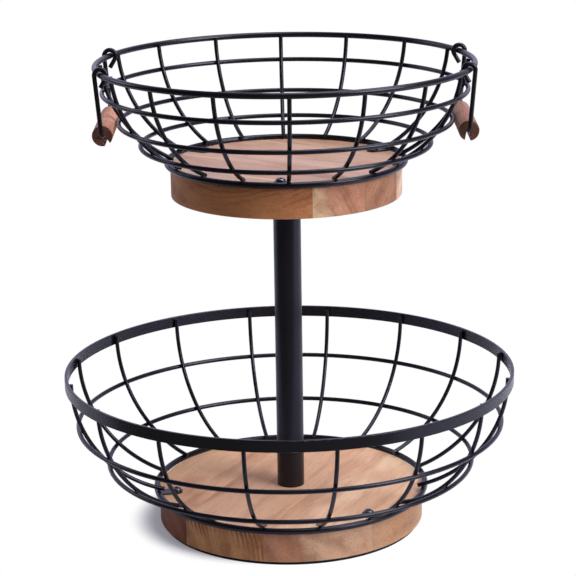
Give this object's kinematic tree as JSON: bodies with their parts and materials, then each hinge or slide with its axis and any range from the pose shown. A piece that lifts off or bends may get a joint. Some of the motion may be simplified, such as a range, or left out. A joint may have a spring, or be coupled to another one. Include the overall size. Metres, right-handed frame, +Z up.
{
  "type": "tiered wire basket",
  "caption": "Tiered wire fruit basket: round wire bowls on thick wooden boards, stacked on a black pole, with swinging wooden-grip handles on the top rim.",
  "frame": {"origin": "middle of the base pad's underside, where the basket stands", "axes": "+Z up along the pole; -Y is the front, as the picture shows it; +X to the viewer's right, so the handles hang at -X and +X"},
  "size_m": [0.3512, 0.3512, 0.371],
  "materials": {
    "black_coat": "satin",
    "board_wood": "satin",
    "grip_wood": "satin",
    "pad_rubber": "matte",
    "screw_black": "satin",
    "plated_steel": "satin"
  },
  "bodies": {
    "stand": {"base_pad": "pad_rubber", "lower_board": "board_wood", "lower_rim_band": "black_coat", "lower_ring_high": "black_coat", "lower_ring_low": "black_coat", "lower_bottom_ring": "black_coat", "lower_rib_01": "black_coat", "lower_rib_02": "black_coat", "lower_rib_03": "black_coat", "lower_rib_04": "black_coat", "lower_rib_05": "black_coat", "lower_rib_06": "black_coat", "lower_rib_07": "black_coat", "lower_rib_08": "black_coat", "lower_rib_09": "black_coat", "lower_rib_10": "black_coat", "lower_rib_11": "black_coat", "lower_rib_12": "black_coat", "lower_rib_13": "black_coat", "lower_rib_14": "black_coat", "lower_rib_15": "black_coat", "lower_rib_16": "black_coat", "lower_tabs": "black_coat", "lower_tab_screws": "screw_black", "pole_tube": "black_coat", "base_bolt": "plated_steel", "base_washer": "plated_steel", "pole_lower_plug": "plated_steel", "pole_upper_plug": "plated_steel", "upper_stud": "plated_steel", "upper_insert": "plated_steel", "upper_board": "board_wood", "upper_rim_wire": "black_coat", "upper_ring_high": "black_coat", "upper_ring_middle": "black_coat", "upper_ring_low": "black_coat", "upper_bottom_ring": "black_coat", "upper_rib_01": "black_coat", "upper_rib_02": "black_coat", "upper_rib_03": "black_coat", "upper_rib_04": "black_coat", "upper_rib_05": "black_coat", "upper_rib_06": "black_coat", "upper_rib_07": "black_coat", "upper_rib_08": "black_coat", "upper_rib_09": "black_coat", "upper_rib_10": "black_coat", "upper_rib_11": "black_coat", "upper_rib_12": "black_coat", "upper_rib_13": "black_coat", "upper_rib_14": "black_coat", "upper_rib_15": "black_coat", "upper_rib_16": "black_coat", "upper_tabs": "black_coat", "upper_tab_screws": "screw_black"},
    "left_handle": {"left_handle_wire": "black_coat", "left_handle_grip": "grip_wood"},
    "right_handle": {"right_handle_wire": "black_coat", "right_handle_grip": "grip_wood"}
  },
  "joints": [
    {"name": "left_handle_swing", "type": "hinge", "parent": "stand", "child": "left_handle", "pos_m": [-0.13543, 0, 0.3648], "axis": [0, 1, 0], "range_deg": [0, 315]},
    {"name": "right_handle_swing", "type": "hinge", "parent": "stand", "child": "right_handle", "pos_m": [0.13543, 0, 0.3648], "axis": [0, -1, 0], "range_deg": [0, 315]}
  ]
}
